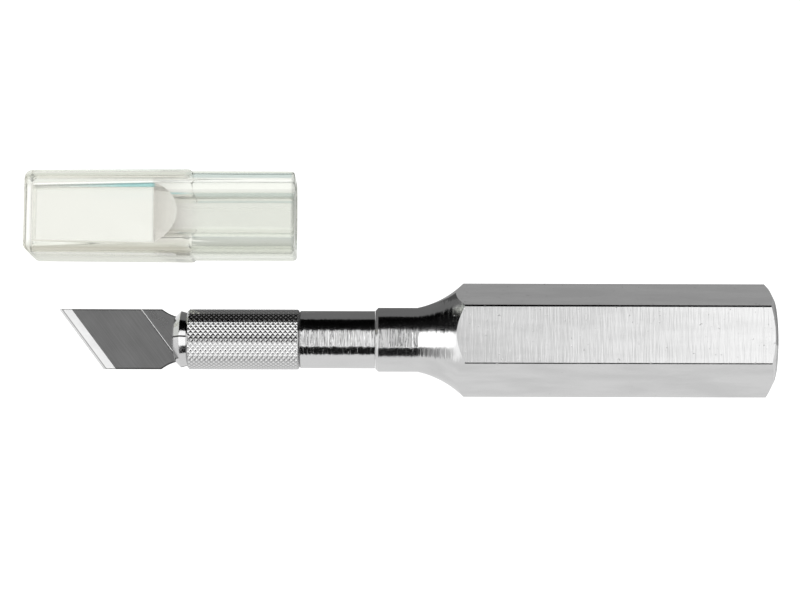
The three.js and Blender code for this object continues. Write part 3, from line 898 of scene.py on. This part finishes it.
# %% Bore and ramps
rise = (CAP_BORE - CHAMBER_HALF) / RAMP_RUN
wide = CAP_BORE + 0.4
ramp_end = CHAMBER_MOUTH + (wide - CHAMBER_HALF) / rise
upper_side = [(CAP_MOUTH + 3, wide), (ramp_end, wide), (CHAMBER_MOUTH, CHAMBER_HALF),
              (CHAMBER_MOUTH - 0.1, CHAMBER_HALF)]
lower_side = [(x, -z) for x, z in upper_side[::-1]]
bore = solid("bore_core", on_cap(rod(CHAMBER_MOUTH, CAP_MOUTH + 2, CAP_BORE)))
cut(bore, solid("funnel", on_cap(prism(lower_side + upper_side, 10))), "INTERSECT")
cut(cap, bore, "DIFFERENCE")
print("ramps rise at", round(math.degrees(math.atan(rise))), "degrees")

# %% Chamber for the blade
chamber = solid("chamber_core", rod(CHAMBER_END, CHAMBER_MOUTH + 0.2, CAP_BORE))
slot = block((CHAMBER_END - 1, -10, -CHAMBER_HALF), (CHAMBER_MOUTH + 1, 10, CHAMBER_HALF))
cut(chamber, solid("slot", slot), "INTERSECT")
shaped = bmesh.new()
shaped.from_mesh(chamber.data)
on_cap(taper(shaped, CHAMBER_END, CHAMBER_MOUTH, CHAMBER_TAPER, 1))
shaped.to_mesh(chamber.data)
shaped.free()
cut(cap, chamber, "DIFFERENCE")
print("chamber is", round(CHAMBER_MOUTH - CHAMBER_END, 1), "mm long")

# %% [markdown]
# Each rib ends in a wider pad near the mouth, and a shallow dimple in the closed end is where the plastic
# came into the mould.

# %% Ribs, pads and gate
foot = math.sqrt(CAP_BORE ** 2 - RIB_OFFSET ** 2) + 0.3
rib_top = math.sqrt(RIB_TIP ** 2 - RIB_OFFSET ** 2)
rib_start = CHAMBER_MOUTH + RAMP_RUN - 1.2
PAD_START, PAD_END = CAP_MOUTH - 2.6, CAP_MOUTH - 0.4
PAD_HALF = 1.1
rib_outline = [(rib_start, -rib_top), (rib_start, -foot), (CAP_MOUTH - 1.2, -foot),
               (CAP_MOUTH - 2.4, -rib_top)]
pad_outline = [(PAD_START, -rib_top - 0.25), (PAD_START, -foot - 0.3), (PAD_END, -foot - 0.3),
               (PAD_END, -rib_top - 0.25)]
for side in (1, -1):
    for name, outline, half_width, offset in (("rib", rib_outline, RIB_WIDTH / 2, RIB_OFFSET),
                                              ("pad", pad_outline, PAD_HALF, RIB_OFFSET + 0.05)):
        bar = prism(outline, half_width)
        bmesh.ops.translate(bar, verts=bar.verts, vec=(0, side * offset * MM, 0))
        cut(cap, solid(name, on_cap(bar)), "UNION")
gate = rod(CAP_END - 1, CAP_END + 0.3, 0.8, 40)
bmesh.ops.translate(gate, verts=gate.verts, vec=(0, 1.9 * MM, 0))
cut(cap, solid("gate", on_cap(gate)), "DIFFERENCE")
print("ribs stand", round(CAP_BORE - RIB_TIP, 2), "mm out of the bore")

# %% [markdown]
# ### Clear polystyrene
#
# General-purpose polystyrene is clear, hard and glossy, with an index near 1.59. An index of 1.49 is used,
# because it traps less light in the thick corners, which would otherwise turn black. A thick moulding is
# never quite colourless: it is faintly warm and grey. Over that tint, painted shade makes its sleeve, side
# walls, rims, ends and ramps greyer, and a painted reflection makes the chamber's edge blue-green, so its
# tint depends on the place. A very weak emission paints a faint glow into all of it, as painted light,
# stronger on the ramps, the near wall and the chamber's edge. Flow waves and handling scuffs show in the
# gloss.

# %% Places in the cap
WALL_STARTS = 5.6
WALL_FADE = 1.0
LIP_FADE = 2.0
GATHERS_FROM = -94
GATHERS_TO = -84
FAR = 1000


def cap_places(material, place):
    """Masks for the parts of the cap, in lengths about its axis. FAR leaves a mask open on that side."""
    centred = add(material, "Mapping", {"Vector": (place, "Object"),
                                        "Location": (0, -CAP_AXIS_Y * MM, -CAP_AXIS_Z * MM)})
    apart = add(material, "SeparateXYZ", {"Vector": (centred, "Vector")})
    x, y, z = ((apart, axis) for axis in "XYZ")
    off = (add(material, "Math", {0: y}, operation="ABSOLUTE"), "Value")
    sleeve = between(material, x, CAP_LIP + 0.5, FAR, LIP_FADE)
    front = between(material, x, -FAR, CAP_LIP - 1.5, LIP_FADE)
    ramps = between(material, x, CHAMBER_MOUTH + 0.3, FAR, 0.4)
    ramps = between(material, x, -FAR, CHAMBER_MOUTH, RAMP_RUN + 4, within=ramps)
    edge_light = between(material, x, GATHERS_FROM, FAR, 14, within=0.9)
    edge_light = between(material, x, -FAR, GATHERS_TO, CAP_LIP - GATHERS_TO, within=edge_light)
    edge_light = between(material, z, 0.8, 3.1, 0.2, within=edge_light)
    return {
        "sleeve": sleeve,
        "walls": between(material, off, WALL_STARTS + WALL_FADE, FAR, WALL_FADE),
        "far wall": between(material, y, 6.3, 7.2, 0.2, within=sleeve),
        "near wall": between(material, y, -6.6, -4.6, 0.3, within=sleeve),
        "near edge": between(material, y, -9.0, -7.2, 0.6, within=front),
        "closed end": between(material, x, CAP_END - 1, CAP_END + 0.5, 0.4),
        "mouth": between(material, x, CAP_MOUTH - 0.4, CAP_MOUTH + 1, 0.4),
        "ramps": between(material, off, -FAR, WALL_STARTS, WALL_FADE, within=ramps),
        "edge light": between(material, y, 5.0, 6.7, 0.2, within=edge_light),
    }


# %% Clear plastic
# Body tints: painted shade makes the sleeve, walls, rims, ends and ramps greyer; the edge light is a painted
# blue-green reflection.
PAINTED_SHADE_AND_LIGHT_TINTS = [("sleeve", "#dcddd9"), ("walls", "#c2c4bb"), ("far wall", "#95a5a3"),
              ("near edge", "#a5a397"), ("closed end", "#b4b1a6"), ("mouth", "#9a9c98"),
              ("ramps", "#bab8b4"), ("edge light", "#5fc3cf")]
# Painted light: the glow of the emission, stronger at the chamber's edge, the ramps and the near wall.
PAINTED_GLOW_TINTS = [("edge light", "#4c939b"), ("ramps", "#8c8985"), ("near wall", "#e6eae4")]


def clear_plastic():
    material, output = new_material("clear moulded polystyrene")
    place = add(material, "TexCoord")
    places = cap_places(material, place)
    flow = add(material, "TexNoise", {"Vector": (place, "Object"), "Scale": per_mm(5), "Detail": 2.0})
    scuffs = add(material, "TexNoise", {"Vector": (place, "Object"), "Scale": per_mm(1.2), "Detail": 5.0})
    rough = add(material, "MapRange", {"Value": (scuffs, "Fac"), "From Min": 0.35, "From Max": 0.75,
                                       "To Min": 0.02, "To Max": 0.09})
    bump = add(material, "Bump", {"Height": (flow, "Fac"), "Strength": 0.5, "Distance": 0.009 * MM})
    shader = add(material, "BsdfPrincipled", {
        "Base Color": layered(material, linear("#e6e6e3"), [(places[p], c) for p, c in PAINTED_SHADE_AND_LIGHT_TINTS]),
        "Roughness": (rough, "Result"),
        "IOR": 1.49,
        "Transmission Weight": 1.0,
        # The emission is painted light: a faint glow everywhere, stronger at the edge light, the ramps and
        # the near wall.
        "Emission Color": layered(material, linear("#afb1ab"), [(places[p], c) for p, c in PAINTED_GLOW_TINTS]),
        "Emission Strength": 0.14,
        "Normal": (bump, "Normal"),
    })
    return finish_material(material, shader, output)


CAP_FLATS = [Vector((1, 0, 0)), Vector((0, 0, 1))]
smooth(cap, angle=24, flats=CAP_FLATS)
fit(cap, clear_plastic(), "cap", ["safety_cap"])

# %% [markdown]
# ## Stage and light
#
# Polished metal shows nothing but its surroundings, so the light is built the way a product photographer
# builds it: a white tent all round, and cards that only reflections see. Seen through the clear cap, a card
# has a colour of its own, or the cap would fill with black lines.

# %% Cards
def panel(name, corners, material):
    """A four-cornered card. Corners are in metres."""
    bm = bmesh.new()
    bm.faces.new([bm.verts.new(c) for c in corners])
    made = solid(name, bm)
    made.data.materials.append(material)
    return made


def reflection_card(name, corners, colour=None, strength=1.0, through="#e4e6e2", stops=None):
    """A card that only mirror-like reflections see, with another colour through the clear cap.

    Or its tone changes along X, by stops of (station in metres, hex colour)."""
    material, output = new_material(name)
    if stops:
        first, last = stops[0][0], stops[-1][0]
        where = add(material, "SeparateXYZ", {"Vector": (add(material, "TexCoord"), "Object")})
        along = add(material, "MapRange", {"Value": (where, "X"), "From Min": first, "From Max": last})
        tones = add(material, "ValToRGB", {"Fac": (along, "Result")},
                    stops=[((x - first) / (last - first), tone) for x, tone in stops])
        seen = (tones, "Color")
    else:
        path = add(material, "LightPath")
        inside = add(material, "Math", {0: (path, "Transmission Depth"), 1: 0.5}, operation="GREATER_THAN")
        seen = layered(material, linear(colour), [((inside, "Value"), through)])
    glow = add(material, "Emission", {"Color": seen, "Strength": strength})
    made = panel(name, corners, finish_material(material, glow, output, "Emission"))
    for ray in ("camera", "diffuse", "transmission", "shadow"):
        setattr(made, "visible_" + ray, False)
    return made


def flat_card(name, x, y, z, **look):
    """A level reflection card, from x[0] to x[1] and from y[0] to y[1]."""
    return reflection_card(name, [(x[0], y[0], z), (x[1], y[0], z), (x[1], y[1], z), (x[0], y[1], z)], **look)


# %% [markdown]
# ### Bench and tent
#
# The bench is back-lit, so that the knife throws hardly any shadow and the clear cap is seen against light.
# Reflections don't see it: the cards just under it are what the lower sides of the metal mirror.

# %% Bench and tent
def floor_material():
    material, output = new_material("back-lit frosted acrylic")
    place = add(material, "TexCoord")
    grain = add(material, "TexNoise", {"Vector": (place, "Object"), "Scale": per_mm(4), "Detail": 4.0})
    shade = add(material, "ValToRGB", {"Fac": (grain, "Fac")}, stops=[(0.3, "#949494"), (0.7, "#989898")])
    shader = add(material, "BsdfPrincipled", {
        "Base Color": (shade, "Color"),
        "Roughness": 0.9,
        "Specular IOR Level": 0.0,
        "Emission Color": (1, 1, 1, 1),
        "Emission Strength": 0.98,
    })
    return finish_material(material, shader, output)


FLOOR = 3.0
FLOOR_Z = -0.00005
floor = panel("bench", [(x * FLOOR, y * FLOOR, FLOOR_Z) for x, y in ((-1, -1), (1, -1), (1, 1), (-1, 1))],
              floor_material())
floor.visible_glossy = False

world = bpy.data.worlds.new("tent")
bpy.context.scene.world = world
world.use_nodes = True
background = world.node_tree.nodes["Background"]
background.inputs["Color"].default_value = (1, 1, 1, 1)
background.inputs["Strength"].default_value = 1.1
bpy.context.scene.view_settings.view_transform = "Standard"
print("bench is", 2 * FLOOR, "m wide")

# %% [markdown]
# ### Upright cards
#
# A round rod mirrors the whole room across its width. The far black card draws the broad black line along
# the rod's far side, the near one a narrow line on its near side, and the grey card the tone below that.
# Far out beyond the blade the near card fades to white, because only the flare mirrors that end.

# %% Upright cards
FAR_Y = 0.6
far_top = FAR_Y / math.tan(math.radians(31))
reflection_card("far_black_card", [(-3, FAR_Y, 0), (1.5, FAR_Y, 0), (1.5, FAR_Y, far_top),
                                   (-3, FAR_Y, far_top)], "#020202", through="#b4d0d2")
NEAR_REACH = 0.7
high, low = ((-NEAR_REACH * math.sin(math.radians(a)), NEAR_REACH * math.cos(math.radians(a)))
             for a in (34, 68))
reflection_card("near_black_card", [(-1.6, *high), (0.22, *high), (0.22, *low), (-1.6, *low)], stops=[
    (-1.6, "#f4f4f4"), (-0.9, "#c0c0c0"), (-0.32, "#6a6a6a"), (-0.28, "#050505"), (0.22, "#050505")])
reflection_card("near_grey_card", [(-1.5, -0.9, 0), (1.5, -0.9, 0), (1.5, -0.9, 0.45), (-1.5, -0.9, 0.45)],
                "#e4e4e4")

# %% [markdown]
# ### Cards on the bench and overhead
#
# The cards on the bench change at the nose, the shoulder and the cap, so that each length of the knife
# mirrors a tone of its own. Overhead hangs a card that is grey over the chuck and white over the handle,
# and a stronger light in front of it for the flare.

# %% Cards on the bench
UNDER = -0.0004
NOSE_END, CAP_SIDE, SHOULDER = -0.0846, -0.058, -0.036
DIVIDER, BEYOND_CAP = 0.0138, 0.09
for name, x, y, colour in (
    ("near_floor_card", (-1.5, 1.5), (-0.9, 0), "#e2e2e2"),
    ("far_floor_card_nose", (-1.5, NOSE_END), (0, DIVIDER), "#f0f0f0"),
    ("far_floor_card_chuck", (NOSE_END, SHOULDER), (0, DIVIDER), "#707070"),
    ("far_floor_card_cap", (-1.5, CAP_SIDE), (DIVIDER, BEYOND_CAP), "#e0e2de"),
    ("far_floor_card_flare", (CAP_SIDE, SHOULDER), (DIVIDER, BEYOND_CAP), "#505050"),
    ("far_floor_card_handle", (SHOULDER, 1.5), (0, BEYOND_CAP), "#a4a4a4"),
    ("far_floor_card_butt", (0.03, 1.5), (BEYOND_CAP, FAR_Y), "#a4a4a4"),
    ("far_floor_black", (-1.5, 0.03), (BEYOND_CAP, FAR_Y), "#101010"),
):
    flat_card(name, x, y, UNDER, colour=colour)
reflection_card("divider_card", [(NOSE_END, DIVIDER, 0), (SHOULDER, DIVIDER, 0), (SHOULDER, DIVIDER, 0.0149),
                                 (NOSE_END, DIVIDER, 0.0149)], "#707070")

# %% Cards overhead
OVERHEAD = 0.9
OVERHEAD_FRONT = -0.34
flat_card("overhead_card", (OVERHEAD_FRONT, 1.2), (-0.56, 0.54), OVERHEAD, strength=1.25, stops=[
    (OVERHEAD_FRONT, "#787878"), (-0.18, "#7c7c7c"), (-0.145, "#cacaca"), (-0.01, "#c8c8c8"),
    (0.17, "#fbfbfb"), (1.2, "#ffffff")])
flat_card("front_light", (-3.0, OVERHEAD_FRONT), (-0.6, 0.42), OVERHEAD, colour="#ffffff", strength=1.6)
flat_card("front_dark_card", (-3.0, OVERHEAD_FRONT), (0.42, 0.62), OVERHEAD, colour="#050505")
